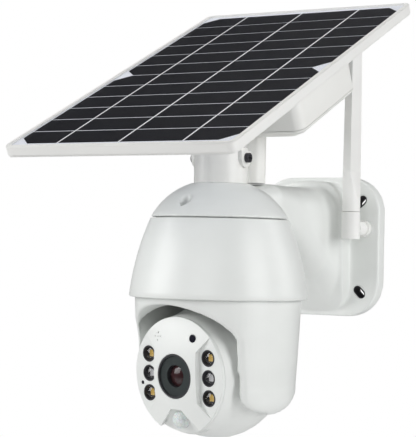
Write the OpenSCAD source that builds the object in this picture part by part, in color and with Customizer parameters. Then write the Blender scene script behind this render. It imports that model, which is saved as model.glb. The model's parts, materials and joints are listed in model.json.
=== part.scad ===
// Solar-powered pan and tilt security camera on a wall bracket.
// Origin: centre of the wall plate's back face. +Y points into the wall, the camera looks along -Y, +Z is up.

/* [Wall plate] */
// Width of the wall plate
plate_w = 98; // [88:1:120]
// Height of the wall plate
plate_h = 102; // [96:1:124]
// Thickness of the wall plate
plate_t = 10.8; // [9:0.1:14]
// Corner radius of the wall plate
plate_corner = 26; // [18:1:34]
// Distance between the wall slots, sideways
slot_span_x = 68; // [60:1:72]
// Distance between the wall slots, upwards
slot_span_z = 66; // [60:1:72]
// Width of a wall slot
slot_w = 4.8; // [4:0.1:6]
// Length of a wall slot from end to end
slot_len = 9.2; // [8:0.1:12]
// Width of the raised pad behind the arm
pad_w = 52; // [46:1:54]

/* [Arm and dome] */
// Distance from the wall to the pan axis
reach = 155; // [140:1:186]
// Wall thickness of the moulded shells
wall = 2.6; // [2:0.1:3.2]
// Half width of the arm where it leaves the cap
arm_half = 22; // [18:1:24]
// Radius of the cap at its lower edge
cap_r = 46.1; // [44:0.1:50]
// Height of the seam between cap and hood
seam_z = 16.6; // [15:0.1:18]
// Outer radius of the hood at its rim
hood_r = 59.2; // [58:0.1:66]
// Height of the hood's rim, below the origin
hood_rim_z = -35.8; // [-38:0.1:-34]

/* [Pan housing and head] */
// Outer radius of the pan housing
housing_r = 53.6; // [52:0.1:56]
// Height of the tilt axis, below the origin
tilt_z = -83.2; // [-86:0.1:-82]
// Radius of the round head
head_r = 45; // [43:0.1:46]
// Half width of the head between its two flat cheeks
head_half = 42.2; // [40:0.1:42.5]
// Radius of the face
face_r = 38.1; // [36:0.1:39]
// Distance from the pan axis to the rim of the face
face_d = 37; // [34:0.5:39]
// How far the middle of the face stands out from its rim
face_rise = 5; // [4:0.1:6]
// Pan angle at rest
pan_rest = -11; // [-40:1:40]
// Downward tilt angle at rest
tilt_rest = 4; // [-10:1:30]
// Outer diameter of a lamp lens
lamp_d = 10.6; // [9:0.1:11.4]
// Distance between lamps in a column
lamp_pitch = 12.8; // [12:0.1:13.4]
// Diameter of the camera's front window
window_d = 28.8; // [26:0.1:30]

/* [Neck and solar panel] */
// Outer radius of the neck
neck_r = 17.8; // [16.5:0.1:20]
// Height of the panel's pivot screws
pivot_z = 56.9; // [55:0.1:60]
// Radius of a pivot screw
pivot_r = 2; // [1.5:0.1:2.5]
// Tilt of the solar panel at rest
panel_tilt = 25.2; // [20:0.1:30]
// Width of the solar panel
panel_w = 166; // [150:1:200]
// Length of the solar panel
panel_l = 270; // [240:1:324]
// Thickness of the panel's frame
panel_t = 7.6; // [6:0.1:10]
// Height of the panel's centre
panel_z = 115; // [112:1:120]
// Width of the battery box
box_w = 90; // [80:1:110]
// Length of the battery box, along the panel
box_l = 89; // [84:1:110]
// Depth of the battery box, down to its lid
box_d = 42; // [38:1:50]

/* [Antenna] */
// Distance from the arm's middle to the antenna
antenna_x = 37; // [36:0.5:40]
// Height of the antenna's swivel
antenna_z = 13.5; // [12:0.5:17]
// Length of the antenna above its swivel
antenna_l = 136; // [100:1:138]

/* [Hidden] */
$fn = 64;

eps = 0.01;             // overlap that lets a cut break through a surface
snug = 0.02;            // gap between parts that are screwed or pressed together
seam = 0.3;             // gap between neighbouring mouldings
run = 0.05;             // radial clearance of a shaft in its bush
shell_colour = [0.88, 0.9, 0.88];
white = [0.93, 0.93, 0.9];
black = [0.05, 0.05, 0.06];
steel = [0.62, 0.63, 0.65];
board_green = [0.05, 0.3, 0.17];

// Bracket
pan_y = -reach;                        // the pan axis
pad_top = plate_h / 2 - 3.5;           // top of the raised pad
pad_depth = 18;                        // how far the pad stands out at its top
pad_front = -plate_t - pad_depth;      // Y of the pad's front at its top
pad_corner = 17;
arm_top = 42;
arm_start = pan_y + cap_r + 0.5;       // where the arm is clear of the cap
cap_top = 40;                          // height of the cap at the neck
cap_bulge = 3.6;
neck_duct = 9;                         // cable hole between cap and neck
hood_bulge = 1.9;
deck_z = -8;                           // top face of the drive deck
deck_t = 3;
deck_r = 43;
screw_r = 1.5;                         // small self-tapping screws
boss_r = 3.6;
hood_screw_ring = 37;
hood_screw_angles = [-96, 24, 144];
hood_screw_seat = 22;                  // floor of the counterbores
deck_screw_ring = 39;
deck_screw_angles = [-36, 84, 204];

// Pan drive
gear_teeth = 48;
pinion_teeth = 16;
gear_module = 1;
gear_r = gear_teeth * gear_module / 2;
pinion_r = pinion_teeth * gear_module / 2;
gear_t = 5;
gear_z = -25;                          // underside of the gear pair
pinion_angle = 174;                    // direction from the pan axis to the pinion
hub_r = 9;                             // hollow hub that the cables pass through
hub_bore = 6.5;
housing_top = -30;                     // top face of the pan housing
motor_r = 12;
motor_t = 19;
motor_offset = 6;                      // motor body to its output shaft
motor_shaft_r = 2.5;
bush_rim = 1.2;                        // flange of the pan bush on the deck
ring_t = 1;                            // thickness of the retaining ring

// Pan housing
cheek_gap = 0.8;                       // between the head's flats and the cheeks
cheek_x = head_half + cheek_gap;
arch_z = -63.7;                        // where the window's sides end and its arch begins
arch_rise = 24;
housing_low = -112.6;                  // underside of the housing
window_tunnel = 34;                    // how near to the pan axis the window's inner wall reaches
window_steps = [[3.4, 0.6], [1.7, 1.3]]; // bevel round the window: distance outwards and depth
cheek_t = 2.2;
idler_r = 4;
shaft_r = 2.5;

// Head
snout_d = 20;                          // where the snout meets the round body
band_half = 18.3;                      // half width of the raised middle of the face
lamp_x = 26.1;
window_r = window_d / 2;
notch_half = 4.4;

// Panel
pivot_y = pan_y;
panel_y = pan_y - 5.1;
cell_w = 156.8;                        // length of one cut wafer
cell_rows = 6;
cell_pitch = 21.4;
cell_gap = 1.5;
cell_chamfer = 9.2;
rim_w = 2.6;                           // visible edge of the panel's frame
ear_x = 8;                             // inner side of the bracket's ears
ear_t = 4.5;
ear_r = 5.4;
box_v = 14.5;                          // front of the battery box, along the panel
box_wall = 2.4;
lid_t = 4.5;
battery_r = 9.1;
battery_l = 65;
leg_r = 8.5;
leg_y = pan_y + 43.6;

// Antenna
antenna_base_r = 6.6;
antenna_base_h = 19.6;
antenna_y = -plate_t - 22;             // axis of the antenna's upright part
blade_w = 17;
nut_t = 4.4;
jack_r = 3.1;
jack_l = 9;                            // how far the threaded jack stands out of the plate

// Points on a shallow arc from a to b that bulges by s to the left of the way from a to b.
function bow(a, b, s, n = 8) = [for (i = [0:n]) let (t = i / n, d = b - a, k = 4 * s * t * (1 - t) / norm(d))
  a + d * t + k * [-d[1], d[0]]];

// A flat outline turned into a row of points in the opposite order.
function backwards(p) = [for (i = [len(p) - 1:-1:0]) p[i]];

// Polar point.
function polar(r, angle) = [r * cos(angle), r * sin(angle)];

// Involute of a gear's flank: the angle by which it has turned at radius r, for base radius rb.
function involute(rb, r) = let (a = acos(min(1, rb / r))) tan(a) * 180 / PI - a;

// Half the angle that a tooth covers at radius r.
function tooth_half(teeth, m, r, backlash) = let (pr = teeth * m / 2, rb = pr * cos(20))
  90 / teeth - backlash * 90 / (PI * pr) + involute(rb, pr) - involute(rb, max(r, rb));

// Outline of a spur gear with involute flanks.
function gear_outline(teeth, m, backlash = 0.16) = let (pr = teeth * m / 2,
  steps = [pr - 1.2 * m, pr - 0.6 * m, pr, pr + 0.5 * m, pr + 0.92 * m])
  [for (i = [0:teeth - 1]) each concat(
    [for (r = steps) polar(r, 360 / teeth * i - tooth_half(teeth, m, r, backlash))],
    [for (r = backwards(steps)) polar(r, 360 / teeth * i + tooth_half(teeth, m, r, backlash))])];

// Outer profiles of cap and hood, as radius and height.
cap_line = bow([cap_r, seam_z], [neck_r + 1, cap_top], -cap_bulge);
hood_line = concat([[hood_r - 1, hood_rim_z], [hood_r - 0.3, hood_rim_z + 0.3]],
  bow([hood_r, hood_rim_z + 1], [cap_r, seam_z - seam], -hood_bulge));

// Flat rectangle with round corners, centred.
module round_rect(w, h, r) {
  square([w - 2 * r, h], center = true);
  square([w, h - 2 * r], center = true);
  for (x = [-1, 1], z = [-1, 1]) translate([x * (w / 2 - r), z * (h / 2 - r)]) circle(r);
}

// Stands a flat XZ outline up and gives it thickness t from y forwards to -Y.
module upright(y, t) {
  translate([0, y, 0]) rotate([90, 0, 0]) linear_extrude(t) children();
}

// Places children around a circle.
module around(r, angles, z = 0) {
  for (a = angles) translate([r * cos(a), r * sin(a), z]) rotate([0, 0, a]) children();
}

module at_dome() { translate([0, pan_y, 0]) children(); }
module at_pan() { at_dome() rotate([0, 0, pan_rest]) children(); }
module at_head() { at_pan() translate([0, 0, tilt_z]) rotate([tilt_rest, 0, 0]) children(); }

// The face's own frame: +Z points out of the face, +Y is up, origin on the tilt axis.
module at_face(d = 0) { at_head() rotate([90, 0, 0]) translate([0, 0, d]) children(); }

// The panel's own frame: origin at the centre of its upper face, +Y up the slope.
module at_panel() { translate([0, panel_y, panel_z]) rotate([panel_tilt, 0, 0]) children(); }

// Countersunk-free screw along -Z: head from 0 upwards, shank downwards, cross recess in the head.
module screw(head_r, head_t, r, l) {
  difference() {
    cylinder(r = head_r, h = head_t);
    translate([0, 0, head_t * 0.45]) {
      translate([-head_r * 0.6, -0.4, 0]) cube([head_r * 1.2, 0.8, head_t]);
      translate([-0.4, -head_r * 0.6, 0]) cube([0.8, head_r * 1.2, head_t]);
    }
  }
  translate([0, 0, -l]) cylinder(r = r - snug, h = l + eps);
}

// ---- bracket ------------------------------------------------------------------------------------

// Side outline of the pad, grown outwards by -inset.
module pad_side(inset) {
  low = 4 - plate_h / 2 + inset;
  polygon(concat([[1, low], [1, pad_top - inset], [pad_front + inset, pad_top - inset], [pad_front + 5 + inset, 0]],
    bow([pad_front + 6.5 + inset, low + 22], [-plate_t - 0.4 + inset, low], -3)));
}

module pad_solid(inset) {
  intersection() {
    upright(0, plate_t + pad_depth) round_rect(pad_w - 2 * inset, 2 * (pad_top - inset), pad_corner - inset);
    translate([-pad_w / 2, 0, 0]) rotate([90, 0, 90]) linear_extrude(pad_w) pad_side(inset);
  }
}

// One thin cross-section of the arm: y, half width, lower and upper height, corner radius.
module arm_slice(s, inset) {
  w = s[1] - inset;
  h = (s[3] - s[2]) / 2 - inset;
  r = s[4] - inset;
  translate([0, s[0], (s[2] + s[3]) / 2]) rotate([90, 0, 0])
    for (x = [-1, 1], z = [-1, 1]) translate([x * (w - r), z * (h - r), 0]) cylinder(r = r, h = 0.2, $fn = 32);
}

arm_slices = [
  [arm_start - 20.5, arm_half - 3, seam_z + 1, arm_top - 5, 9],
  [arm_start, arm_half, seam_z + 0.6, arm_top - 0.4, 11],
  [arm_start + 38.5, arm_half - 1, 0, arm_top, 19],
  [pad_front - 8, arm_half, -24, arm_top + 0.6, 20],
  [-plate_t - 2, pad_w / 2 - 1.5, 4 - plate_h / 2, pad_top - 1, 19]];

module arm_solid(inset, first) {
  for (i = [first:len(arm_slices) - 2]) hull() {
    arm_slice(arm_slices[i], inset);
    arm_slice(arm_slices[i + 1], inset);
  }
}

module slot_2d(grow = 0) {
  for (e = [-1, 1]) translate([e * (slot_len - slot_w) / 2, 0]) circle(slot_w / 2 + grow);
  square([slot_len - slot_w, slot_w + 2 * grow], center = true);
}

module at_slots() {
  for (x = [-1, 1], z = [-1, 1]) translate([x * slot_span_x / 2, z * slot_span_z / 2])
    rotate(x * z * 45) children();
}

cover_screw_x = plate_w / 2 - 11;
cover_inset = wall + seam;
cover_t = 2;
sleeve_t = 0.55;                       // wall of the cover's sleeves, which line the wall slots

module bracket() color(shell_colour) {
  difference() {
    union() {
      upright(0, plate_t) round_rect(plate_w, plate_h, plate_corner);
      pad_solid(0);
      arm_solid(0, 0);
      at_dome() rotate_extrude() polygon(concat([[0, seam_z]], cap_line, [[0, cap_top]]));
    }
    difference() {
      union() {
        upright(eps, plate_t - wall + eps)
          round_rect(plate_w - 2 * wall, plate_h - 2 * wall, plate_corner - wall);
        pad_solid(wall);
        arm_solid(wall, 1);
        at_dome() rotate_extrude() polygon(concat([[0, seam_z - eps], [cap_r - wall, seam_z - eps]],
          bow([cap_r - wall, seam_z], [neck_r + 1 - wall, cap_top - wall], -cap_bulge), [[0, cap_top - wall]]));
      }
      upright(-cover_t - snug, plate_t) at_slots() slot_2d(2.4);
      for (x = [-1, 1]) translate([x * cover_screw_x, -cover_t - snug, 0]) rotate([90, 0, 0])
        cylinder(r = boss_r, h = plate_t);
      at_dome() around(hood_screw_ring, hood_screw_angles, hood_screw_seat - 2.2) cylinder(r = 5.2, h = 20);
    }
    upright(eps, plate_t + 1) at_slots() slot_2d(sleeve_t + snug);
    for (x = [-1, 1]) translate([x * cover_screw_x, -1, 0]) rotate([90, 0, 0]) cylinder(r = screw_r, h = plate_t - 3);
    at_dome() around(hood_screw_ring, hood_screw_angles, hood_screw_seat) {
      cylinder(r = 3.4, h = 20);
      translate([0, 0, -3]) cylinder(r = screw_r + 0.2, h = 4);
    }
    at_dome() translate([0, 0, cap_top - 6]) cylinder(r = neck_duct, h = 10);
    at_dome() around(neck_screw_ring, neck_screw_angles, cap_top - 8) cylinder(r = screw_r + 0.2, h = 12);
    translate([antenna_x, 0, antenna_z]) rotate([90, 0, 0]) cylinder(r = jack_r + 0.1, h = plate_t + 5);
  }
}

// Rubber cover that closes the plate's back and lines its slots.
module back_cover() color(black) difference() {
  union() {
    upright(0, cover_t) round_rect(plate_w - 2 * cover_inset, plate_h - 2 * cover_inset, plate_corner - cover_inset);
    upright(-1, plate_t - 1.3) at_slots() slot_2d(sleeve_t);
  }
  upright(1, plate_t + 2) at_slots() slot_2d();
  for (x = [-1, 1]) translate([x * cover_screw_x, 1, 0]) rotate([90, 0, 0]) {
    cylinder(r = screw_r + 0.2, h = 6);
    cylinder(r = 3, h = 2.5);
  }
}

module cover_screws() color(steel) for (x = [-1, 1])
  translate([x * cover_screw_x, snug - 1.5, 0]) rotate([-90, 0, 0]) screw(2.7, 1.4, screw_r, 5.5);

// ---- hood, neck and leg -------------------------------------------------------------------------

lip_r = cap_r - wall - 2.6;            // spigot of the hood inside the cap
hood_boss_z = seam_z - 14;             // underside of the bosses for the hood's screws
hood_inner = bow([hood_r - wall, hood_rim_z], [cap_r - wall + 1, seam_z - 3], -hood_bulge);

// Rib in a radial plane between a boss and the hood's wall, from height low up to the seam.
module hood_rib(r, low) {
  t = (low - hood_rim_z) / (seam_z - 3 - hood_rim_z);
  wall_r = (hood_r - wall) * (1 - t) + (cap_r - wall + 1) * t + 4 * hood_bulge * t * (1 - t);
  translate([0, 1.2, 0]) rotate([90, 0, 0]) linear_extrude(2.4)
    polygon([[r, low], [wall_r + 1, low], [cap_r - wall + 2, seam_z - 2.5], [r, seam_z - 2.5]]);
}

module hood() color(shell_colour) at_dome() {
  difference() {
    union() {
      rotate_extrude() polygon(concat(hood_line, [[lip_r, seam_z - seam], [lip_r, seam_z + 3],
        [lip_r - wall, seam_z + 3], [lip_r - wall, seam_z - 3]], backwards(hood_inner)));
      around(hood_screw_ring, hood_screw_angles, hood_boss_z) cylinder(r = boss_r, h = hood_screw_seat - 2.6 - hood_boss_z);
      around(deck_screw_ring, deck_screw_angles, deck_z) cylinder(r = boss_r, h = seam_z - 1 - deck_z);
      around(0, hood_screw_angles) hood_rib(hood_screw_ring + 2, hood_boss_z + 0.5);
      around(0, deck_screw_angles) hood_rib(deck_screw_ring + 2, deck_z + 0.5);
    }
    around(hood_screw_ring, hood_screw_angles, seam_z - 12) cylinder(r = screw_r, h = 30);
    around(deck_screw_ring, deck_screw_angles, deck_z - 1) cylinder(r = screw_r, h = 11);
  }
}

module hood_screws() color(steel) at_dome() around(hood_screw_ring, hood_screw_angles, hood_screw_seat)
  screw(2.9, 1.8, screw_r, 12);

neck_head_r = 2.7;
neck_screw_ring = neck_r + 0.7 - wall - neck_head_r;   // the heads bear on the flat under the cap
neck_screw_angles = [0, 120, 240];
neck_wall = 2.2;
neck_floor = 4;
collar_t = 2;
neck_h = pivot_z + 4.6 - cap_top;      // the neck ends just above its pivot screws
pad_x = neck_r + 1.6;                  // flat of the pad under each pivot screw
pad_r = 6.4;

module neck() color(white) at_dome() difference() {
  union() {
    translate([0, 0, cap_top + 0.02]) cylinder(r = neck_r, h = neck_h);
    for (s = [0, 180]) rotate([0, 0, s]) {
      translate([neck_r - neck_wall, 0, pivot_z]) rotate([0, 90, 0]) cylinder(r = pad_r, h = pad_x - neck_r + neck_wall);
      translate([neck_r - neck_wall, -pad_r, pivot_z])
        cube([pad_x - neck_r + neck_wall, 2 * pad_r, cap_top + neck_h - pivot_z]);
    }
  }
  translate([0, 0, cap_top + neck_floor]) cylinder(r = neck_r - neck_wall, h = neck_h);
  translate([0, 0, cap_top - 1]) cylinder(r = neck_duct, h = 8);
  around(neck_screw_ring, neck_screw_angles, cap_top - 1) cylinder(r = screw_r, h = 8);
  translate([-neck_r - 4, 0, pivot_z]) rotate([0, 90, 0]) cylinder(r = pivot_r + 0.15, h = 2 * neck_r + 8);
  translate([-30, -30, cap_top + neck_h + snug]) cube([60, 60, 20]);
}

module neck_collar() color(white) at_dome() translate([0, 0, cap_top + neck_h + 0.05]) difference() {
  cylinder(r = neck_r, h = collar_t);
  translate([0, 0, -1]) cylinder(r = neck_r - neck_wall, h = collar_t + 2);
}

module neck_screws() color(steel) at_dome() around(neck_screw_ring, neck_screw_angles, cap_top - wall)
  rotate([180, 0, 0]) screw(neck_head_r, 1.6, screw_r, wall + 3.4);

// Each screw's head bears on the pad and its shank reaches through one ear of the panel's bracket.
module pivot_screws() color(black) at_dome() for (s = [0, 180]) rotate([0, 0, s])
  translate([pad_x + 0.02, 0, pivot_z]) rotate([0, 90, 0]) screw(3.2, 2.6, pivot_r, pad_x - ear_x + 0.5);

module rear_leg() color(white) difference() {
  translate([0, leg_y, arm_top + 0.05]) cylinder(r = leg_r, h = 40);
  translate([0, leg_y, arm_top - 1]) cylinder(r = leg_r - 2.4, h = 60);
  at_panel() translate([-40, -60, box_top - box_d - lid_t - 2 * seam]) cube([80, 140, 80]);
}

// ---- pan drive, fixed side ----------------------------------------------------------------------

pinion_at = polar(gear_r + pinion_r, pinion_angle);
pinion_phase = pinion_angle + 180 + 180 / pinion_teeth + (pinion_angle - pan_rest) * gear_teeth / pinion_teeth;
motor_at = polar(gear_r + pinion_r - motor_offset, pinion_angle);

module drive_deck() color("dimgray") at_dome() difference() {
  union() {
    translate([0, 0, deck_z - deck_t]) cylinder(r = deck_r, h = deck_t - 0.02);
    translate([0, 0, deck_z - deck_t - 4]) cylinder(r = hub_r + 5.5, h = 5);
  }
  translate([0, 0, deck_z - 20]) cylinder(r = hub_r + 2.5, h = 30);
  translate([pinion_at[0], pinion_at[1], deck_z - 10]) cylinder(r = motor_shaft_r + 1.5, h = 20);
  around(deck_screw_ring, deck_screw_angles, deck_z - 10) cylinder(r = screw_r + 0.2, h = 20);
}

module deck_screws() color(steel) at_dome() around(deck_screw_ring, deck_screw_angles, deck_z - deck_t)
  rotate([180, 0, 0]) screw(2.7, 1.6, screw_r, deck_t + 7);

module pan_bush() color("goldenrod") at_dome() difference() {
  union() {
    translate([0, 0, deck_z - deck_t - 4]) cylinder(r = hub_r + 2.49, h = deck_t + 4);
    translate([0, 0, deck_z]) cylinder(r = hub_r + 4.5, h = bush_rim);
  }
  translate([0, 0, deck_z - 20]) cylinder(r = hub_r + run, h = 30);
}

module pan_motor() color(steel) at_dome() translate([0, 0, deck_z]) difference() {
  translate([motor_at[0], motor_at[1], 0]) cylinder(r = motor_r, h = motor_t);
  translate([pinion_at[0], pinion_at[1], -1]) cylinder(r = motor_shaft_r + run, h = 9);
}

board_z = deck_z + motor_t + 2.5;

module main_board() color(board_green) at_dome() difference() {
  union() {
    translate([-20, -26, board_z]) cube([40, 52, 1.6]);
    translate([-11, -22, board_z + 1.6]) cube([18, 18, 2.2]);
    translate([-16, 8, board_z + 1.6]) cube([14, 14, 3]);
    translate([4, 8, board_z + 1.6]) cube([12, 8, 5]);
  }
  around(hood_screw_ring, hood_screw_angles, 0) cylinder(r = 5.8, h = 40);
}

module antenna_jack() color("gold") translate([antenna_x, 0, antenna_z]) rotate([90, 0, 0]) {
  translate([0, 0, plate_t - wall - 1.7]) cylinder(r = 4.6, h = 1.6);
  translate([0, 0, 4.5]) cylinder(r = jack_r, h = plate_t - 4.5 + jack_l);
}

module pan_pinion() color("ivory") at_dome() translate([pinion_at[0], pinion_at[1], 0]) {
  translate([0, 0, gear_z]) rotate([0, 0, pinion_phase])
    linear_extrude(gear_t) polygon(gear_outline(pinion_teeth, gear_module));
  translate([0, 0, gear_z + gear_t - eps]) cylinder(r = motor_shaft_r, h = deck_z + 5 - gear_z - gear_t);
}

// ---- pan body -----------------------------------------------------------------------------------

housing_wall = 2.4;
ceiling_t = 3;
housing_core = housing_r - 2.4;        // radius of the flat top of the housing
hub_screw_ring = 14;
hub_screw_angles = [45, 165, 285];
hub_flange_t = 2.5;

// Outer profile of the housing from its underside to its top, moved inwards by an inset.
function housing_line(i) = concat([[housing_r - 19 - i, housing_low + i]],
  bow([housing_r - 13 - i, housing_low + 0.8 + i], [housing_r - 1.2 - i, tilt_z - 8], -4),
  [[housing_r - 0.2 - i, tilt_z + 8], [housing_r + 0.6 - i, tilt_z + 24],
   [housing_r + 1.6 - i, hood_rim_z - 1], [housing_r + 1.6 - i, housing_top - 3.6]]);

// Solid of the housing's outer shape, moved inwards by an inset and with its flat top lowered by drop.
module housing_form(inset, drop) {
  rotate_extrude($fn = 96) polygon(concat([[0, housing_low + inset]], housing_line(inset),
    [[housing_core - inset, housing_top - drop], [0, housing_top - drop]]));
}

// Block in front of the pan axis whose outline is the window that the head looks through:
// straight sides and a flat elliptic arch, both moved outwards by grow.
module window_block(grow, from = 0) {
  rotate([90, 0, 0]) translate([0, 0, from]) linear_extrude(80) polygon(concat([[cheek_x + grow, -140]],
    [for (a = [0:7.5:180]) [(cheek_x + grow) * cos(a), arch_z + (arch_rise + grow) * sin(a)]],
    [[-cheek_x - grow, -140]]));
}

module pan_housing() color(shell_colour) at_pan() difference() {
  union() {
    difference() {
      housing_form(0, 0);
      housing_form(housing_wall, ceiling_t);
    }
    intersection() {
      for (s = [-1, 1]) translate([s * (cheek_x + cheek_t / 2), 0, (arch_z + arch_rise + housing_low) / 2])
        cube([cheek_t, 2 * housing_r, arch_z + arch_rise - housing_low - 1], center = true);
      housing_form(housing_wall / 2, ceiling_t / 2);
    }
    intersection() {
      window_block(2, window_tunnel);
      housing_form(housing_wall / 2, ceiling_t / 2);
    }
  }
  window_block(0);
  for (step = window_steps) difference() {
    window_block(step[0]);
    housing_form(step[1], 0);
  }
  translate([-cheek_x, -1, -160]) cube([2 * cheek_x, 60, 160 + tilt_z - 16]);
  translate([0, 0, housing_top - 5]) cylinder(r = hub_bore, h = 10);
  around(hub_screw_ring, hub_screw_angles, housing_top - 6) cylinder(r = screw_r, h = 9);
  translate([0, 0, tilt_z]) rotate([0, -90, 0]) cylinder(r = idler_r, h = cheek_x + cheek_t + 1);
  translate([0, 0, tilt_z]) rotate([0, 90, 0]) cylinder(r = shaft_r, h = cheek_x + cheek_t + 1);
}

module pan_hub() color("whitesmoke") at_pan() difference() {
  union() {
    translate([0, 0, housing_top + 0.02]) cylinder(r = 18, h = hub_flange_t);
    translate([0, 0, housing_top + 1]) cylinder(r = hub_screw_ring - 3, h = gear_z - housing_top - 1);
    translate([0, 0, housing_top + 1]) cylinder(r = hub_r, h = deck_z + 5 - housing_top - 1);
  }
  translate([0, 0, housing_top - 1]) cylinder(r = hub_bore, h = 60);
  around(hub_screw_ring, hub_screw_angles, housing_top - 1) cylinder(r = screw_r + 0.2, h = 6);
  translate([0, 0, deck_z + bush_rim + 0.2]) difference() {
    cylinder(r = hub_r + 1, h = ring_t + 0.2);
    translate([0, 0, -1]) cylinder(r = hub_r - 1, h = ring_t + 2);
  }
}

module hub_screws() color(steel) at_pan()
  around(hub_screw_ring, hub_screw_angles, housing_top + 0.02 + hub_flange_t) screw(2.3, 1.4, screw_r, 5);

module pan_gear() color("ivory") at_pan() translate([0, 0, gear_z + 0.02]) difference() {
  linear_extrude(gear_t) polygon(gear_outline(gear_teeth, gear_module));
  translate([0, 0, -1]) cylinder(r = hub_r + 0.02, h = gear_t + 2);
  around(hub_r + 7, [0:60:300], -1) cylinder(r = 3, h = gear_t + 2);
}

module hub_ring() color(steel) at_pan() translate([0, 0, deck_z + bush_rim + 0.3]) difference() {
  cylinder(r = hub_r + 2.6, h = ring_t);
  translate([0, 0, -1]) cylinder(r = hub_r - 0.9, h = 3);
  translate([-1.5, -30, -1]) cube([3, 30, 3]);
}

module tilt_shaft() color(steel) at_pan() translate([tilt_motor_x + 2, 0, tilt_z]) rotate([0, 90, 0])
  cylinder(r = shaft_r, h = cheek_x + cheek_t - tilt_motor_x - 2);

module idler_pin() color(steel) at_pan() translate([0, 0, tilt_z]) rotate([0, -90, 0])
  translate([0, 0, head_half - wall - 2]) cylinder(r = idler_r, h = wall + 2 + cheek_gap + cheek_t);

// ---- head ---------------------------------------------------------------------------------------

// Distance at which a round body of radius r still fits inside the round head.
function room_for(r) = sqrt((head_r - wall) * (head_r - wall) - r * r);

tilt_motor_x = room_for(motor_r + motor_offset) - motor_t - 0.3;
face_base = face_d - 2.4;              // back of the face plate
dome_r = (face_r * face_r + face_rise * face_rise) / (2 * face_rise);
lens_hole_r = window_r + 0.2;
lens_r = window_r / 2;

// Height of the face's shallow dome at distance r from its middle.
function dome_z(r) = face_d + face_rise - dome_r + sqrt(dome_r * dome_r - r * r);

lamp_places = [for (s = [-1, 1], k = [-1:1]) [s * lamp_x, k * lamp_pitch]];
warm_places = [for (p = lamp_places) if (p[1] != 0) p];
infrared_places = [for (p = lamp_places) if (p[1] == 0) p];
lamp_r = lamp_d / 2;
cup_depth = 5;
sensor_at = [15, 25];
sensor_r = 2.6;
mic_at = [-15.5, 25];
mic_gap = 2.4;
indicator_at = [-32.4, -6.6];
indicator_r = 1.25;
motion_y = -28.6;                      // height of the motion lens on the face
motion_r = 6;
motion_lean = 24;                      // the motion lens looks down by this much
motion_floor = face_d - 2.2;
motion_base_t = 2.4;
face_screw_places = [[0, 35], [-24.8, -24.9], [24.8, -24.9]];
barrel_r = window_r - 0.1;
barrel_back = 20;
ring_d = 2.2;                          // how far the dark ring behind the window lies in front of the face's rim

// Side profile of the head, as radius and distance along its viewing axis, moved inwards by an inset.
function head_line(i) = let (a0 = asin(snout_d / head_r)) concat(
  [for (k = [0:14]) polar(head_r - i, -90 + (a0 + 90) * k / 14)],
  [[face_r + 0.8 - i, face_d - 6], [face_r - i, face_base - 0.2]]);

module head_form(inset) {
  intersection() {
    rotate_extrude($fn = 96) polygon(concat(head_line(inset), [[0, face_base - 0.2]]));
    cube([2 * (head_half - inset), 200, 200], center = true);
  }
}

module motion_frame() { translate([0, motion_y, motion_floor]) rotate([motion_lean, 0, 0]) children(); }

// The notch in front of the motion lens, widening downwards, from depth d below its floor outwards.
module notch(d) {
  motion_frame() translate([0, 0, -d]) linear_extrude(40)
    polygon([[-notch_half, 8.6], [notch_half, 8.6], [face_r - 4, -22], [4 - face_r, -22]]);
}

module head_shell() color(shell_colour) at_face() difference() {
  head_form(0);
  difference() {
    union() {
      head_form(wall);
      translate([0, 0, snout_d]) cylinder(r = face_r - wall - 0.7, h = 30);
    }
    translate([0, 0, 5]) for (p = face_screw_places) translate([p[0], p[1], 0]) cylinder(r = 3, h = 60);
  }
  notch(motion_base_t + 0.2);
  for (p = face_screw_places) translate([p[0], p[1], face_d - 12]) cylinder(r = screw_r, h = 30);
  rotate([0, 90, 0]) cylinder(r = shaft_r + 1, h = 60);
  rotate([0, -90, 0]) cylinder(r = idler_r + 1.81, h = 60);
}

// Flat pocket for a column of lamps beside the raised middle of the face.
module side_pocket() {
  polygon([[band_half, 2 - band_half], [band_half, band_half - 2], [face_r, face_r - 1.5], [60, face_r],
    [60, -face_r], [face_r, 1.5 - face_r]]);
}

module face_plate() color(shell_colour) at_face() difference() {
  union() {
    rotate_extrude($fn = 96) polygon(concat([[0, face_base], [face_r, face_base]],
      [for (k = [10:-1:0]) [face_r * k / 10, dome_z(face_r * k / 10)]]));
    intersection() {
      notch(motion_base_t);
      translate([0, 0, barrel_back]) cylinder(r = face_r - 0.2, h = face_d - barrel_back - 1);
      translate([0, motion_y - 16, 0]) cube([120, 44, 200], center = true);
    }
  }
  for (m = [0, 1]) mirror([m, 0, 0]) translate([0, 0, face_d]) linear_extrude(20) side_pocket();
  notch(0);
  cylinder(r = lens_hole_r, h = 80);
  for (p = lamp_places) translate([p[0], p[1], 0]) cylinder(r = lamp_r + 0.1, h = 80);
  translate([sensor_at[0], sensor_at[1], 0]) cylinder(r = sensor_r, h = 80);
  translate([indicator_at[0], indicator_at[1], 0]) cylinder(r = indicator_r, h = 80);
  for (p = [[0, 0], [0, mic_gap], [0, -mic_gap], [mic_gap, 0], [-mic_gap, 0]])
    translate([mic_at[0] + p[0], mic_at[1] + p[1], 0]) cylinder(r = 0.45, h = 80, $fn = 24);
  motion_frame() translate([0, 0, -10]) cylinder(r = motion_r + 0.1, h = 20);
  for (p = face_screw_places) translate([p[0], p[1], face_base - 1]) cylinder(r = screw_r, h = 2.6);
}

// Long screws from inside the head that end in blind holes of the face plate.
module face_screws() color(steel) at_face() for (p = face_screw_places)
  translate([p[0], p[1], face_d - 12]) cylinder(r = screw_r - snug, h = 11);

module lens_barrel() color(black) at_face() translate([0, 0, barrel_back]) difference() {
  cylinder(r = barrel_r, h = face_d + 4.2 - barrel_back);
  translate([0, 0, face_d + ring_d - 0.05 - barrel_back]) cylinder(r = barrel_r - 1, h = 10);
  translate([0, 0, 2]) cylinder(r = lens_r, h = 40);
  translate([0, 0, -1]) cylinder(r = 4, h = 10);
}

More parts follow.
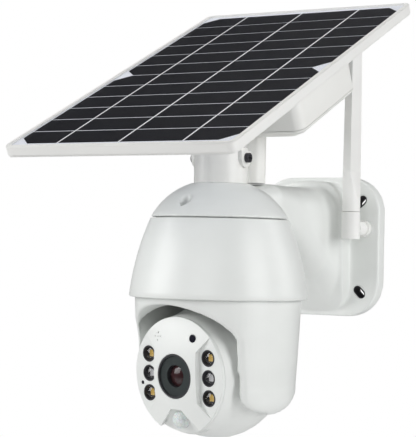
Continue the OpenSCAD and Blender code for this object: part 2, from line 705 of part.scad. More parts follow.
module window_ring() color([0.16, 0.19, 0.18]) at_face() translate([0, 0, face_d + ring_d]) difference() {
  cylinder(r = barrel_r - 1.05, h = 0.9);
  translate([0, 0, -1]) cylinder(r = lens_r, h = 4);
}

module front_window() color([0.6, 0.7, 0.7, 0.35]) at_face() translate([0, 0, face_d + ring_d + 0.95])
  cylinder(r = barrel_r - 1.05, h = 1);

module lens() color([0.2, 0.08, 0.1]) at_face() translate([0, 0, face_d - 6]) intersection() {
  cylinder(r = lens_r - 0.05, h = 10);
  translate([0, 0, ring_d + 5.9 - 14]) sphere(14);
}

module sensor_board() color(board_green) at_face() translate([0, 0, barrel_back - 1.7])
  translate([-13, -13, 0]) cube([26, 26, 1.6]);

module image_sensor() color("darkslategray") at_face() translate([-3, -2.4, barrel_back - 0.05])
  cube([6, 4.8, 1]);

module lamp_cups() color(black) at_face() for (p = lamp_places)
  translate([p[0], p[1], face_d - cup_depth]) difference() {
    cylinder(r = lamp_r, h = cup_depth + 0.3);
    translate([0, 0, 1]) cylinder(r1 = 3.4, r2 = lamp_r - 0.5, h = cup_depth);
  }

module lamp_lenses() color([0.85, 0.88, 0.9, 0.35]) at_face() for (p = lamp_places)
  translate([p[0], p[1], face_d - cup_depth + 2.9]) intersection() {
    cylinder(r1 = 3.15, r2 = 4.3, h = 3);
    translate([0, 0, 2.6 - 6.4]) sphere(6.4);
  }

module emitters(places) {
  for (p = places) translate([p[0], p[1], face_d - cup_depth + 1.02]) translate([-2.2, -2.2, 0]) cube([4.4, 4.4, 1]);
}

module warm_emitters() color([0.95, 0.65, 0.2]) at_face() emitters(warm_places);
module infrared_emitters() color([0.8, 0.8, 0.82]) at_face() emitters(infrared_places);

module lamp_board() color(board_green) at_face() translate([0, 0, face_d - cup_depth - 1.65]) difference() {
  cylinder(r = face_r - wall - 2, h = 1.6);
  translate([0, 0, -1]) cylinder(r = barrel_r + 0.6, h = 4);
  translate([0, 0, cup_depth + 1.65 - face_d]) notch(motion_base_t + 0.5);
  translate([-14, -60, -1]) cube([28, 45, 4]);
  for (p = face_screw_places) translate([p[0], p[1], -1]) cylinder(r = 3.4, h = 4);
  for (p = [sensor_at, mic_at]) translate([p[0], p[1], -1]) cylinder(r = 0.6, h = 4);
}

module motion_lens() color([0.9, 0.92, 0.92]) at_face() motion_frame() difference() {
  union() {
    translate([0, 0, -1.6]) cylinder(r = motion_r, h = 1.7);
    intersection() {
      sphere(motion_r);
      cylinder(r = motion_r + 1, h = motion_r + 1);
    }
  }
  sphere(motion_r - 0.8);
  translate([0, 0, -4]) cylinder(r = motion_r - 1.2, h = 4);
}

module motion_sensor() color(steel) at_face() motion_frame() translate([0, 0, -6]) cylinder(r = 4.4, h = 5.4);

module light_sensor() color(black) at_face() translate([sensor_at[0], sensor_at[1], face_d - cup_depth])
  cylinder(r = sensor_r - 0.1, h = cup_depth + 2.4);

module microphone() color("silver") at_face() translate([mic_at[0], mic_at[1], face_base - 2])
  cylinder(r = 3.2, h = 1.9);

module indicator() color([0.05, 0.05, 0.1]) at_face() translate([indicator_at[0], indicator_at[1], face_d - cup_depth])
  cylinder(r = indicator_r - 0.05, h = cup_depth - 0.2);

module speaker() color("dimgray") at_face() translate([0, -8, 15 - head_r]) {
  cylinder(r = 10, h = 4);
  translate([0, 0, 4 - eps]) cylinder(r = 6, h = 3);
}

module tilt_motor() color(steel) at_head() rotate([0, 90, 0]) difference() {
  translate([0, motor_offset, tilt_motor_x]) cylinder(r = motor_r, h = motor_t);
  translate([0, 0, tilt_motor_x + 1]) cylinder(r = shaft_r + run, h = 40);
}

module idler_bush() color("goldenrod") at_head() rotate([0, -90, 0]) translate([0, 0, head_half - wall - 3])
  difference() {
    cylinder(r = idler_r + 1.8, h = wall + 3);
    translate([0, 0, -1]) cylinder(r = idler_r + run, h = 20);
  }

// ---- solar panel --------------------------------------------------------------------------------

cell_z = -0.9;                         // top of the cells, below the top of the frame
sheet_t = 1.8;
cell_t = 0.25;
panel_corner = 5;
ledge = 9;                             // the frame's shelf under the laminate
panel_floor = cell_z - cell_t - 0.02 - sheet_t;

// Height of a surface that lies d below the panel's upper face, at the given Y in the part's frame.
function under_panel(y, d) = panel_z + (y - panel_y) * tan(panel_tilt) - d / cos(panel_tilt);

module panel_outline(inset, z, h) {
  translate([0, 0, z]) linear_extrude(h)
    round_rect(panel_w - 2 * inset, panel_l - 2 * inset, max(1, panel_corner - inset));
}

module panel_frame() color(white) at_panel() difference() {
  union() {
    panel_outline(0, -panel_t + 1.2, panel_t - 1.8);
    panel_outline(0.7, -panel_t, panel_t);
  }
  panel_outline(rim_w, panel_floor, 20);
  panel_outline(ledge, -panel_t - 1, 30);
}

module backsheet() color([0.78, 0.8, 0.86]) at_panel() panel_outline(rim_w + 0.15, panel_floor + 0.02, sheet_t - 0.04);

// One strip of a wafer; the outer corners of the first and last strip of each wafer are cut off.
module cell_strip(low_cut, high_cut) {
  w = cell_w / 2;
  h = (cell_pitch - cell_gap) / 2;
  cl = low_cut ? cell_chamfer : 0.01;
  ch = high_cut ? cell_chamfer : 0.01;
  linear_extrude(cell_t - 0.02) polygon([[-w + cl, -h], [w - cl, -h], [w, -h + cl], [w, h - ch], [w - ch, h],
    [-w + ch, h], [-w, h - ch], [-w, -h + cl]]);
}

module solar_cells() color([0.04, 0.04, 0.07]) at_panel() for (g = [-1, 1], k = [0:cell_rows - 1])
  translate([0, g * (k + 0.5) * cell_pitch, cell_z - cell_t])
    cell_strip(g > 0 ? k == 0 : k == cell_rows - 1, g > 0 ? k == cell_rows - 1 : k == 0);

module busbars() color([0.86, 0.87, 0.9]) at_panel() for (u = [-1, 0, 1])
  translate([u * cell_w / 3.44 - 0.6, -cell_rows * cell_pitch, cell_z]) cube([1.2, 2 * cell_rows * cell_pitch, 0.08]);

module panel_glass() color([0.8, 0.85, 0.9, 0.2]) at_panel() panel_outline(rim_w + 0.15, cell_z + 0.12, 0.6);

bracket_t = 3;

// Outline of one ear of the bracket, seen along X: round at the pivot, wide at the panel.
module ear_outline() {
  translate([0, pivot_z]) circle(ear_r);
  polygon([[-ear_r, pivot_z], [ear_r, pivot_z], [11, under_panel(pivot_y + 11, panel_t + 1)],
    [-11, under_panel(pivot_y - 11, panel_t + 1)]]);
}

module panel_bracket() color(white) difference() {
  union() {
    at_panel() translate([0, -1.5, -panel_t - bracket_t]) linear_extrude(bracket_t - 0.02) round_rect(48, 29, 4);
    at_dome() for (x = [-ear_x - ear_t, ear_x]) translate([x, 0, 0]) rotate([90, 0, 90])
      linear_extrude(ear_t) ear_outline();
  }
  at_dome() translate([-30, 0, pivot_z]) rotate([0, 90, 0]) cylinder(r = pivot_r + run, h = 60);
}

box_corner = 7;
box_top = -panel_t - 0.02;
box_mid = box_v + box_l / 2;
lid_screw_places = [for (x = [-1, 1], y = [-1, 1]) [x * (box_w / 2 - box_corner), y * (box_l / 2 - box_corner)]];

module battery_box() color(white) at_panel() translate([0, box_mid, 0]) difference() {
  translate([0, 0, box_top - box_d]) linear_extrude(box_d) round_rect(box_w, box_l, box_corner);
  difference() {
    translate([0, 0, box_top - box_d - 1]) linear_extrude(box_d + 1 - box_wall)
      round_rect(box_w - 2 * box_wall, box_l - 2 * box_wall, box_corner - box_wall);
    for (p = lid_screw_places) translate([p[0], p[1], box_top - box_d]) cylinder(r = 4.4, h = box_d);
  }
  for (p = lid_screw_places) translate([p[0], p[1], box_top - box_d - 1]) cylinder(r = screw_r, h = 12);
}

module battery_lid() color(white) at_panel() translate([0, box_mid, box_top - box_d - seam]) difference() {
  hull() {
    translate([0, 0, -1.2]) linear_extrude(1.2) round_rect(box_w, box_l, box_corner, $fn = 32);
    translate([0, 0.8, -lid_t]) linear_extrude(1) round_rect(box_w - 9, box_l - 4, box_corner, $fn = 32);
  }
  for (p = lid_screw_places) translate([p[0], p[1], -10]) {
    cylinder(r = screw_r + 0.2, h = 20);
    cylinder(r = 3.1, h = 10 - 2);
  }
}

module lid_screws() color(steel) at_panel() for (p = lid_screw_places)
  translate([p[0], p[1] + box_mid, box_top - box_d - seam - 2]) rotate([180, 0, 0]) screw(2.8, 1.5, screw_r, 10);

module battery_cells() color([0.1, 0.35, 0.6]) at_panel() for (k = [-1:1])
  translate([-battery_l / 2, box_mid + k * (2 * battery_r + 1), box_top - box_d + battery_r + 1]) rotate([0, 90, 0])
    cylinder(r = battery_r, h = battery_l);

module charge_board() color(board_green) at_panel() translate([-30, box_mid - 25, box_top - box_wall - 4.6]) {
  cube([60, 50, 1.6]);
  translate([8, 8, -5]) cube([12, 12, 5 + eps]);
  translate([30, 20, -3]) cube([8, 8, 3 + eps]);
}

// ---- antenna ------------------------------------------------------------------------------------

module at_antenna() { translate([antenna_x, antenna_y, antenna_z]) children(); }

module antenna_collar() color(white) translate([antenna_x, 0, antenna_z]) rotate([90, 0, 0]) difference() {
  union() {
    translate([0, 0, plate_t + 0.2]) cylinder(r = 6.2, h = nut_t);
    translate([0, 0, plate_t + nut_t]) cylinder(r = 5, h = -antenna_y - plate_t - nut_t - antenna_base_r + 0.6);
  }
  translate([0, 0, plate_t - 1]) cylinder(r = jack_r + run, h = jack_l + 2);
  translate([0, 0, -antenna_y]) rotate([90, 0, 0]) cylinder(r = antenna_base_r + 0.02, h = 30, center = true);
}

module antenna_base() color(white) at_antenna() translate([0, 0, -8]) cylinder(r = antenna_base_r, h = antenna_base_h);

// Slim flat blade that widens out of a round foot.
module antenna_blade() color(white) at_antenna() {
  hull() {
    translate([0, 0, antenna_base_h - 7.8]) cylinder(r = antenna_base_r - 0.1, h = 6, $fn = 48);
    translate([-3, -blade_w / 2, antenna_base_h + 20]) cube([6, blade_w, 1]);
  }
  hull() {
    translate([-2.95, 0.05 - blade_w / 2, antenna_base_h + 20.5]) cube([5.9, blade_w - 0.1, 1]);
    translate([-2.6, 1 - blade_w / 2, antenna_l - 1]) cube([5.2, blade_w - 2, 1]);
  }
}

bracket();
back_cover();
cover_screws();
hood();
hood_screws();
neck();
neck_collar();
neck_screws();
pivot_screws();
rear_leg();
drive_deck();
deck_screws();
pan_bush();
pan_motor();
main_board();
antenna_jack();
pan_pinion();
pan_housing();
pan_hub();
hub_screws();
pan_gear();
hub_ring();
tilt_shaft();
idler_pin();
head_shell();
face_plate();
face_screws();
lens_barrel();
window_ring();
front_window();
lens();
sensor_board();
image_sensor();
lamp_cups();
lamp_lenses();
warm_emitters();
infrared_emitters();
lamp_board();
motion_lens();
motion_sensor();
light_sensor();
microphone();
indicator();
speaker();
tilt_motor();
idler_bush();
panel_frame();
backsheet();
solar_cells();
busbars();
panel_glass();
panel_bracket();
battery_box();
battery_lid();
lid_screws();
battery_cells();
charge_board();
antenna_collar();
antenna_base();
antenna_blade();
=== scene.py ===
"""Solar-powered pan and tilt camera on a wall bracket: its visible surfaces, finishes, light and camera."""
import json
import math

import bmesh
import bpy
import numpy as np
from mathutils import Matrix, Vector


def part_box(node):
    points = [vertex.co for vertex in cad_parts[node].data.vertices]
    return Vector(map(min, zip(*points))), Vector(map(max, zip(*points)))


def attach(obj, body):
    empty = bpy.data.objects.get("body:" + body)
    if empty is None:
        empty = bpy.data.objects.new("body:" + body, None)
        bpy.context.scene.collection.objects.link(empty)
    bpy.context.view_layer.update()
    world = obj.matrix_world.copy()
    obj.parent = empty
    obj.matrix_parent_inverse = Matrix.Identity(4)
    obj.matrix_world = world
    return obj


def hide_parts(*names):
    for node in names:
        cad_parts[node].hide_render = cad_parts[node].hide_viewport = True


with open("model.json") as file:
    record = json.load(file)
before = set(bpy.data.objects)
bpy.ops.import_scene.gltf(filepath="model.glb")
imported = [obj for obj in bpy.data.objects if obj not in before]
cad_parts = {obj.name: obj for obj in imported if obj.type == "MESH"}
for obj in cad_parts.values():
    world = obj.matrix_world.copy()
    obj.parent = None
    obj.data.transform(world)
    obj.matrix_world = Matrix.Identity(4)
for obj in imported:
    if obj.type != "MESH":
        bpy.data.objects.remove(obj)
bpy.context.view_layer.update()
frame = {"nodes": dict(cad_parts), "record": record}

record = frame["record"]
MM = 0.001
SLOT_OF = {part["node"]: part["material_slot"] for part in record["subparts"]}
BODY_OF = {node: body for body, nodes in record["behaviour"]["bodies"].items() for node in nodes}
PANEL_TILT = 25.2       # degrees that the solar panel leans forward, as in the CAD model
glass_low, glass_high = (np.array(corner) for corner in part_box("panel_glass"))
PANEL_MIDDLE = tuple((glass_low + glass_high) / 2)


# ---- mesh tools ---------------------------------------------------------------------------------

SHARP_EDGE = 32.0       # degrees; an edge that turns by more stays sharp
WELD = 0.004 * MM       # points closer than this become one
SLIVER = 0.002 * MM     # edges shorter than this are dissolved


def finish_mesh(mesh):
    """Welds coincident points, then shades smooth except across sharp edges."""
    bm = bmesh.new()
    bm.from_mesh(mesh)
    bmesh.ops.remove_doubles(bm, verts=bm.verts, dist=WELD)
    bmesh.ops.dissolve_degenerate(bm, edges=bm.edges, dist=SLIVER)
    bm.to_mesh(mesh)
    bm.free()
    mesh.polygons.foreach_set("use_smooth", np.ones(len(mesh.polygons), dtype=bool))
    mesh.set_sharp_from_angle(angle=math.radians(SHARP_EDGE))
    mesh.update()


def add_piece(name, mesh, node):
    """Puts a mesh into the scene in place of a CAD node, on that node's body and in its finish."""
    piece = bpy.data.objects.new(name, mesh)
    bpy.context.scene.collection.objects.link(piece)
    mesh.materials.clear()
    mesh.materials.append(FINISHES[SLOT_OF[node]])
    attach(piece, BODY_OF[node])
    return piece


def ring_mesh(name, grid):
    """Mesh of quads between the rings of a grid of points: each row of the grid closes on itself."""
    rows, columns = grid.shape[:2]
    i = np.arange(rows - 1)[:, None]
    j = np.arange(columns)[None, :]
    i2, j2 = i + 1, (j + 1) % columns
    quads = np.stack([i * columns + j, i * columns + j2, i2 * columns + j2, i2 * columns + j], axis=-1)
    mesh = bpy.data.meshes.new(name)
    mesh.from_pydata(grid.reshape(-1, 3), [], quads.reshape(-1, 4))
    return mesh


def softened(node):
    """A welded copy of a CAD node with smooth shading and no stored normals, in place of the node."""
    mesh = frame["nodes"][node].data.copy()
    for stored in ("custom_normal", "sharp_edge", "sharp_face"):
        if stored in mesh.attributes:
            mesh.attributes.remove(mesh.attributes[stored])
    finish_mesh(mesh)
    piece = add_piece(node + "_surface", mesh, node)
    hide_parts(node)
    return piece


def filleted(node, cell, passes):
    """A copy of a CAD node rebuilt from small cells, cell millimetres wide, and relaxed in some passes.

    Its edges and inner corners become fillets: a pass moves each point halfway to its neighbours' mean.
    """
    piece = softened(node)
    remesh = piece.modifiers.new("cells", "REMESH")
    remesh.mode, remesh.voxel_size, remesh.use_smooth_shade = "VOXEL", cell * MM, True
    relax = piece.modifiers.new("fillets", "SMOOTH")
    relax.factor, relax.iterations = 0.5, passes
    evaluated = piece.evaluated_get(bpy.context.evaluated_depsgraph_get())
    mesh = bpy.data.meshes.new_from_object(evaluated)
    piece.modifiers.clear()
    piece.data = mesh
    mesh.polygons.foreach_set("use_smooth", np.ones(len(mesh.polygons), dtype=bool))
    return piece


# ---- shader tools -------------------------------------------------------------------------------

class Amount:
    """A number that varies over a surface; arithmetic on it adds Math nodes."""

    def __init__(self, finish, socket):
        self.finish, self.socket = finish, socket

    def math(self, operation, *values):
        """One Math node over some values or amounts."""
        node = self.finish.node("ShaderNodeMath", {"operation": operation}, dict(enumerate(values)))
        return Amount(self.finish, node.outputs[0])

    def __add__(self, other):
        return self.math("ADD", self, other)

    def __rsub__(self, other):
        return self.math("SUBTRACT", other, self)

    def __mul__(self, other):
        return self.math("MULTIPLY", self, other)

    def __truediv__(self, other):
        return self.math("DIVIDE", self, other)

    def above(self, level):
        return self.math("GREATER_THAN", self, level)

    def below(self, level):
        return self.math("LESS_THAN", self, level)

    def fraction(self):
        return self.math("FRACT", self)

    def power(self, exponent):
        return self.math("POWER", self, exponent)

    __radd__, __rmul__ = __add__, __mul__


class Finish:
    """A node material under construction, with one Principled shader."""

    def __init__(self, name, **constants):
        self.material = bpy.data.materials.new(name)
        self.material.use_nodes = True
        self.tree = self.material.node_tree
        self.shader = self.tree.nodes["Principled BSDF"]
        self.place = self.node("ShaderNodeTexCoord").outputs["Object"]
        for socket, value in constants.items():
            self.shader.inputs[socket.replace("_", " ")].default_value = value

    def node(self, kind, settings=None, inputs=None):
        """One node: its settings first, a ramp's stops among them, then values or links for its sockets."""
        node = self.tree.nodes.new(kind)
        for key, value in (settings or {}).items():
            if key == "stops":
                ramp = node.color_ramp.elements
                while len(ramp) < len(value):
                    ramp.new(0.5)
                for stop, (position, colour) in zip(ramp, value):
                    stop.position, stop.color = position, (*colour, 1)
            else:
                setattr(node, key, value)
        for socket, value in (inputs or {}).items():
            self.join(value, node.inputs[socket])
        return node

    def join(self, value, socket):
        """Links a value into a socket, or sets the socket's own number or colour."""
        if isinstance(value, Amount):
            self.tree.links.new(value.socket, socket)
        elif isinstance(value, bpy.types.NodeSocket):
            self.tree.links.new(value, socket)
        elif isinstance(value, tuple) and len(value) == 3 and socket.type == "RGBA":
            socket.default_value = (*value, 1)
        else:
            socket.default_value = value

    def noise(self, grain_mm, detail=2.0, rough=0.5, stretch=(1, 1, 1)):
        """Soft random pattern, 0 to 1, with features about grain_mm across."""
        place = self.node("ShaderNodeMapping", {"vector_type": "POINT"}, {0: self.place, 3: stretch})
        made = self.node("ShaderNodeTexNoise", None, {
            "Vector": place.outputs[0], "Scale": 1 / (grain_mm * MM), "Detail": detail, "Roughness": rough})
        return Amount(self, made.outputs[0])

    def along(self, direction, origin=(0, 0, 0)):
        """Distance in millimetres along a direction, from an origin."""
        centred = self.node("ShaderNodeVectorMath", {"operation": "SUBTRACT"}, {0: self.place, 1: origin})
        dot = self.node("ShaderNodeVectorMath", {"operation": "DOT_PRODUCT"},
                        {0: centred.outputs[0], 1: tuple(float(part) / MM for part in direction)})
        return Amount(self, dot.outputs["Value"])

    def mix(self, amount, first, second):
        """Colour between first and second."""
        node = self.node("ShaderNodeMix", {"data_type": "RGBA"}, {0: amount, 6: first, 7: second})
        return node.outputs[2]

    def set(self, **values):
        """Feeds varying values into the shader's sockets."""
        for socket, value in values.items():
            self.join(value, self.shader.inputs[socket.replace("_", " ")])
        return self

    def relief(self, height, depth_mm, edge_mm=0.0):
        """Surface relief of a given depth, over edges that are rounded by edge_mm."""
        inputs = {"Strength": 1.0, "Distance": depth_mm * MM, "Height": height}
        if edge_mm:
            edge = self.node("ShaderNodeBevel", {"samples": 4}, {"Radius": edge_mm * MM})
            inputs["Normal"] = edge.outputs[0]
        bump = self.node("ShaderNodeBump", None, inputs)
        self.tree.links.new(bump.outputs[0], self.shader.inputs["Normal"])
        return self


def shade(colour, factor):
    """A colour made darker or lighter by a factor, up to white."""
    return tuple(min(1.0, c * factor) for c in colour[:3])


# ---- finishes -----------------------------------------------------------------------------------

def moulded_plastic(name, colour, roughness, grain=0.35, grain_depth=0.006, edge=0.45):
    """Injection-moulded plastic: fine spark-eroded grain, faint flow marks and slightly uneven gloss."""
    f = Finish(name, IOR=1.5)
    flow = f.noise(38, 3, stretch=(1, 1, 2.2))
    dust = f.noise(6, 4, 0.6)
    f.set(Base_Color=f.mix(flow, shade(colour, 0.965), shade(colour, 1.03)),
          Roughness=roughness + 0.10 * flow + 0.05 * dust)
    return f.relief(f.noise(grain) + 0.4 * f.noise(2.4 * grain), grain_depth, edge)


def plated_steel(name, colour, roughness):
    """Plated steel with fine turning marks and a faintly clouded shine."""
    f = Finish(name, Metallic=1.0)
    streak = f.noise(0.5, 3, stretch=(1, 1, 9))
    cloud = f.noise(4)
    f.set(Base_Color=f.mix(cloud, shade(colour, 0.85), shade(colour, 1.1)),
          Roughness=roughness + 0.18 * streak)
    return f.relief(streak, 0.01, 0.15)


def dark_metal(name, colour):
    """Blackened screw: oxide that is rubbed brighter in patches."""
    f = Finish(name, Metallic=0.6)
    rub = f.noise(0.9, 3)
    f.set(Base_Color=f.mix(rub.power(2.0), colour, shade(colour, 3.0)), Roughness=0.5 - 0.2 * rub)
    return f.relief(rub, 0.015, 0.2)


def nylon(name, colour):
    """Natural nylon gear plastic: faintly clouded, satin."""
    f = Finish(name, IOR=1.53)
    cloud = f.noise(5, 3)
    f.set(Base_Color=f.mix(cloud, shade(colour, 0.92), colour), Roughness=0.42 + 0.12 * cloud)
    return f.relief(f.noise(0.5), 0.01, 0.15)


def sintered_bronze(name, colour):
    """Sintered bronze: porous, speckled and dull."""
    f = Finish(name, Metallic=0.9)
    pores = f.noise(0.35, 4, 0.7)
    f.set(Base_Color=f.mix(pores, shade(colour, 0.6), shade(colour, 1.2)), Roughness=0.4 + 0.3 * pores)
    return f.relief(pores, 0.03)


FAR_OFF = 1000.0        # millimetres added before a stripe pattern, so that it never counts below zero
TRACK_PITCHES = (1.9, 2.6)  # millimetres between copper tracks, along X and along Y


def circuit_board(name, colour):
    """Green solder mask over copper tracks that run at right angles."""
    f = Finish(name, IOR=1.5)
    along_x = ((f.along((1, 0, 0)) + FAR_OFF) / TRACK_PITCHES[0]).fraction()
    along_y = ((f.along((0, 1, 0)) + FAR_OFF) / TRACK_PITCHES[1]).fraction()
    copper = along_x.below(0.32) * f.noise(7).above(0.5)
    copper = copper.math("MAXIMUM", copper, along_y.below(0.3) * f.noise(9).above(0.56))
    f.set(Base_Color=f.mix(copper, colour, shade(colour, 1.9)), Roughness=0.35 - 0.08 * copper)
    return f.relief(copper, 0.03)


FINGER_PITCH = 1.6      # millimetres between the wafer's fingers
FINGER_SHARE = 0.055    # share of that pitch that a finger covers
FINGER_OFFSET = 500.0   # millimetres; keeps the finger pattern above zero


def silicon_cells(name, colour):
    """Solar wafer strips: blue-black silicon with hair-thin grey fingers across the busbars."""
    f = Finish(name, Specular_IOR_Level=0.06)
    tilt = math.radians(PANEL_TILT)
    up_slope = f.along((0, math.cos(tilt), math.sin(tilt)), PANEL_MIDDLE)
    fingers = ((up_slope + FINGER_OFFSET) / FINGER_PITCH).fraction().below(FINGER_SHARE)
    cloud = f.noise(30, 4)
    wafer = f.mix(cloud, shade(colour, 0.6), shade(colour, 1.3))
    f.set(Base_Color=f.mix(fingers, wafer, shade(colour, 3.5)), Roughness=0.4 + 0.1 * cloud)
    return f.relief(fingers, 0.01)


def tinned_ribbon(name, colour):
    """Tinned copper ribbon, slightly rippled by soldering."""
    f = Finish(name, Metallic=0.1)
    ripple = f.noise(3, 2)
    f.set(Base_Color=f.mix(ripple, shade(colour, 1.05), shade(colour, 1.12)), Roughness=0.3 + 0.15 * ripple)
    return f.relief(ripple, 0.02)


def laminate(name, colour):
    """Woven-backed white laminate behind the cells."""
    f = Finish(name, IOR=1.45)
    cloth = f.noise(0.7, 1)
    tone = f.noise(20)
    f.set(Base_Color=f.mix(tone, shade(colour, 1.12), shade(colour, 1.2)), Roughness=0.5 + 0.1 * cloth)
    return f.relief(cloth, 0.02)


CLEAR_TINT = 0.9        # how bright the mirrored light is on a clear cover


def clear_cover(name, roughness, smear=0.02, least=0.01, shine=0.5):
    """Clear sheet or lens: lets light through and mirrors it by its angle, with faint smears."""
    f = Finish(name, Metallic=1.0)
    mark = f.noise(18, 4)
    facing = Amount(f, f.node("ShaderNodeLayerWeight", None, {"Blend": 0.5}).outputs["Facing"])
    f.set(Base_Color=f.mix(mark, (CLEAR_TINT,) * 3, (CLEAR_TINT, CLEAR_TINT, 1.02 * CLEAR_TINT)),
          Roughness=roughness + smear * mark, Alpha=shine * facing.power(5.0) + least)
    return f.relief(f.noise(25), 0.01)


# Painted reflection: dark lens base colours chosen by how squarely the surface faces the view, standing in
# for the reddish reflection of the lens coating.
LENS_PAINTED_REFLECTION = [(0.0, (0.03, 0.008, 0.01)), (0.35, (0.045, 0.016, 0.018)),
              (0.7, (0.02, 0.01, 0.012)), (1.0, (0.008, 0.01, 0.012))]


def coated_lens(name):
    """Dark camera lens whose base colour carries a painted reddish reflection of its anti-reflection
    coating, set by the viewing angle: reddish where the lens faces the view, fading to near black towards
    its edge.
    """
    f = Finish(name, IOR=1.45, Coat_Weight=0.15, Coat_Roughness=0.08)
    facing = Amount(f, f.node("ShaderNodeLayerWeight", None, {"Blend": 0.35}).outputs["Facing"])
    # The ramp paints the coating's reddish reflection into the base colour, by viewing angle.
    ramp = f.node("ShaderNodeValToRGB", {"stops": LENS_PAINTED_REFLECTION}, {"Fac": facing})
    f.set(Base_Color=ramp.outputs[0], Roughness=0.16 + 0.03 * f.noise(2))
    return f


def printed_border(name, colour):
    """Dark satin print with a fine grain: the border on the camera window's back, and the sensor's face."""
    f = Finish(name, Specular_IOR_Level=0.2)
    grain = f.noise(0.3, 3)
    f.set(Base_Color=f.mix(grain, shade(colour, 0.36), shade(colour, 0.5)), Roughness=0.35 + 0.1 * grain)
    return f.relief(grain, 0.004)


def phosphor(name, colour):
    """Emitter chip: a granular phosphor square."""
    f = Finish(name, IOR=1.45)
    grain = f.noise(0.25, 3)
    f.set(Base_Color=f.mix(grain, shade(colour, 0.75), shade(colour, 1.1)), Roughness=0.4 + 0.2 * grain)
    return f.relief(grain, 0.02)


def milky_lens(name, colour):
    """Milky polythene of the motion lens with its honeycomb of small facets, whose borders are darkened with
    painted shade.
    """
    f = Finish(name, IOR=1.51, Subsurface_Weight=0.25, Subsurface_Scale=0.002)
    cells = f.node("ShaderNodeTexVoronoi", {"feature": "DISTANCE_TO_EDGE"},
                   {"Vector": f.place, "Scale": 1 / (2.2 * MM)})
    edge = Amount(f, cells.outputs["Distance"]).below(0.06)
    # The facet borders are darkened in the base colour: painted shade in the grooves between the facets.
    f.set(Base_Color=f.mix(edge, colour, shade(colour, 0.82)), Roughness=0.34 + 0.1 * f.noise(1.5))
    return f.relief(1 - edge, 0.05)


def smoked_window(name, colour):
    """Smoked plastic light guide."""
    f = Finish(name, Specular_IOR_Level=0.25)
    cloud = f.noise(1.2)
    f.set(Base_Color=f.mix(cloud, shade(colour, 0.3), shade(colour, 0.6)), Roughness=0.2 + 0.1 * cloud)
    return f.relief(cloud, 0.01, 0.2)


def shrink_wrap(name, colour):
    """Heat-shrunk sleeve of a battery cell with long soft wrinkles."""
    f = Finish(name, IOR=1.5)
    wrinkle = f.noise(2.5, 3, stretch=(0.25, 1, 1))
    f.set(Base_Color=f.mix(wrinkle, shade(colour, 0.8), shade(colour, 1.15)), Roughness=0.25 + 0.2 * wrinkle)
    return f.relief(wrinkle, 0.05)


COLOUR = {m["slot"]: tuple(m["base_color"][:3]) for m in record["materials"]}
MAKERS = {
    "shell": lambda n, c: moulded_plastic(n, c, 0.26),
    "cover": lambda n, c: moulded_plastic(n, c, 0.6, grain=0.7, grain_depth=0.02),
    "white_plastic": lambda n, c: moulded_plastic(n, c, 0.3),
    "antenna_plastic": lambda n, c: moulded_plastic(n, c, 0.36),
    "panel_rim": lambda n, c: moulded_plastic(n, c, 0.34, edge=0.6),
    "backsheet": laminate,
    "cells": silicon_cells,
    "ribbon": tinned_ribbon,
    "panel_glass": lambda n, c: clear_cover(n, 0.05, smear=0.05, shine=0.1),
    "steel": lambda n, c: plated_steel(n, c, 0.25),
    "black_screws": dark_metal,
    "black_plastic": lambda n, c: moulded_plastic(n, c, 0.38, grain=0.3, edge=0.2),
    "nylon": nylon,
    "bronze": sintered_bronze,
    "board": circuit_board,
    "jack": lambda n, c: plated_steel(n, c, 0.2),
    "window_ring": printed_border,
    "window_glass": lambda n, c: clear_cover(n, 0.02, shine=0.2),
    "lens_glass": lambda n, c: coated_lens(n),
    "lamp_glass": lambda n, c: clear_cover(n, 0.03, least=0.06),
    "sensor_chip": printed_border,
    "warm_emitter": phosphor,
    "infrared_emitter": phosphor,
    "motion_lens": milky_lens,
    "dark_window": smoked_window,
    "battery_wrap": shrink_wrap,
}
FINISHES = {}
for slot_name, maker in MAKERS.items():
    FINISHES[slot_name] = maker(slot_name, COLOUR[slot_name]).material
for node_name, cad_object in frame["nodes"].items():
    if not cad_object.material_slots:
        cad_object.data.materials.append(None)
    for material_slot in cad_object.material_slots:
        material_slot.link = "OBJECT"
        material_slot.material = FINISHES[SLOT_OF[node_name]]


# ---- pieces -------------------------------------------------------------------------------------

for shell_node, cell_size, relaxing in (("bracket", 0.97, 8), ("pan_housing", 0.92, 4)):
    filleted(shell_node, cell_size, relaxing)
for part_node in (
        "hood", "neck", "neck_collar", "rear_leg", "head_shell", "face_plate", "pivot_screws", "hood_screws",
        "lens_barrel", "window_ring", "front_window", "lens", "lamp_cups", "lamp_lenses", "motion_lens",
        "light_sensor", "panel_frame", "panel_bracket", "battery_box", "battery_lid", "lid_screws",
        "antenna_collar", "antenna_base", "antenna_blade", "antenna_jack", "back_cover", "cover_screws"):
    softened(part_node)


# ---- studio -------------------------------------------------------------------------------------

FLOOR_HEIGHT = -0.42    # metres
FLOOR_RINGS = (0.0, 1.0, 2.5, 6.0)  # metres
FLOOR_SIDES = 96
FLOOR_FADE = (0.7, 1.7)  # metres from the middle where the floor starts and ends to fade
LIGHTS = (              # name, place, what it faces, size, power
    ("left_light", (-1.1, -1.1, 0.5), (0, -0.15, 0), (1.0, 1.2), 17),
    ("front_light", (0.5, -1.9, 0.5), (0, -0.15, 0), (1.0, 1.0), 5.5),
    ("right_light", (1.5, -0.35, 0.35), (0, -0.15, -0.03), (0.8, 1.2), 13),
    ("back_light", (1.2, 0.75, 0.5), (0, -0.15, 0), (0.6, 1.0), 4.5),
    ("top_light", (-0.3, 0.1, 1.5), (0, -0.15, 0.1), (1.3, 1.3), 9),
    ("low_light", (0.5, -0.9, -0.38), (0, -0.15, -0.1), (0.9, 0.6), 0.4))
CAMERA_PLACE = (0.5323, -1.0521, -0.0022)
CAMERA_LOOK = (-0.51668, 0.85599, 0.018006)
CAMERA_ROLL = 1.2222    # degrees
LENS, FILM = 129.42, 36.0  # millimetres
NEAR, FAR = 0.01, 50    # metres that the camera sees between


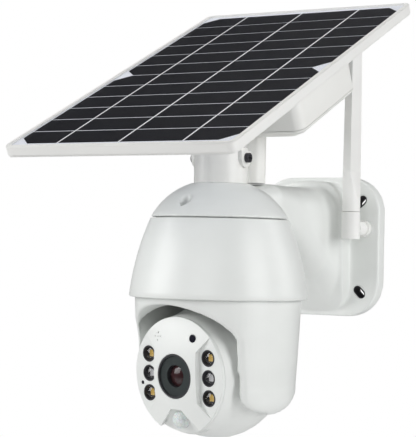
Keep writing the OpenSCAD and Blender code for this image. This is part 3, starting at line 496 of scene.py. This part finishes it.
def add_floor():
    """Pale round floor well below the part; it fades into the white surroundings far out."""
    angle = np.linspace(0, 2 * np.pi, FLOOR_SIDES, endpoint=False)
    radius = np.array(FLOOR_RINGS)[:, None]
    height = FLOOR_HEIGHT + 0 * radius * angle
    grid = np.stack([radius * np.cos(angle), radius * np.sin(angle), height], axis=-1)
    mesh = ring_mesh("floor", grid)
    finish_mesh(mesh)
    floor = bpy.data.objects.new("floor", mesh)
    bpy.context.scene.collection.objects.link(floor)
    f = Finish("pale_floor", Roughness=0.8)
    length = f.node("ShaderNodeVectorMath", {"operation": "LENGTH"}, {0: f.place})
    fading = f.node("ShaderNodeMapRange", None,
                    {0: length.outputs["Value"], 1: FLOOR_FADE[0], 2: FLOOR_FADE[1], 3: 1.0, 4: 0.0})
    fade = Amount(f, fading.outputs[0])
    f.set(Base_Color=f.mix(f.noise(90, 3), (0.86, 0.86, 0.86), (0.9, 0.9, 0.9)), Alpha=fade)
    mesh.materials.append(f.material)


def add_world(seen, light):
    """White surroundings, seen at one strength by the camera and lighting the part at another."""
    world = bpy.data.worlds.new("surroundings")
    bpy.context.scene.world = world
    world.use_nodes = True
    tree = world.node_tree
    tree.nodes.clear()
    path = tree.nodes.new("ShaderNodeLightPath")
    mix = tree.nodes.new("ShaderNodeMixShader")
    out = tree.nodes.new("ShaderNodeOutputWorld")
    tree.links.new(path.outputs["Is Camera Ray"], mix.inputs[0])
    for index, strength in ((1, light), (2, seen)):
        background = tree.nodes.new("ShaderNodeBackground")
        background.inputs["Color"].default_value = (1, 1, 1, 1)
        background.inputs["Strength"].default_value = strength
        tree.links.new(background.outputs[0], mix.inputs[index])
    tree.links.new(mix.outputs[0], out.inputs[0])


def add_panel_light(name, position, target, size, power):
    """Rectangular soft light at a position, facing a target."""
    light = bpy.data.lights.new(name, "AREA")
    light.shape, light.size, light.size_y = "RECTANGLE", *size
    light.energy = power
    lamp = bpy.data.objects.new(name, light)
    bpy.context.scene.collection.objects.link(lamp)
    lamp.location = position
    lamp.rotation_mode = "QUATERNION"
    lamp.rotation_quaternion = (Vector(target) - Vector(position)).to_track_quat("-Z", "Y")


def add_camera():
    """Camera level with the part's wall plate, to its front right."""
    eye = Vector(CAMERA_PLACE)
    look = Vector(CAMERA_LOOK).normalized()
    roll = math.radians(CAMERA_ROLL)
    side = look.cross(Vector((0, 0, 1))).normalized()
    up = side.cross(look)
    x_axis = side * math.cos(roll) + up * math.sin(roll)
    y_axis = up * math.cos(roll) - side * math.sin(roll)
    data = bpy.data.cameras.new("camera")
    data.lens, data.sensor_width, data.sensor_fit = LENS, FILM, "AUTO"
    data.clip_start, data.clip_end = NEAR, FAR
    camera = bpy.data.objects.new("camera", data)
    bpy.context.scene.collection.objects.link(camera)
    turned_to = Matrix((x_axis, y_axis, -look)).transposed().to_4x4()
    camera.matrix_world = Matrix.Translation(eye) @ turned_to
    bpy.context.scene.camera = camera


add_floor()
add_world(seen=1.0, light=0.06)
for light_row in LIGHTS:
    add_panel_light(*light_row)
add_camera()
bpy.context.scene.view_settings.view_transform = "Standard"
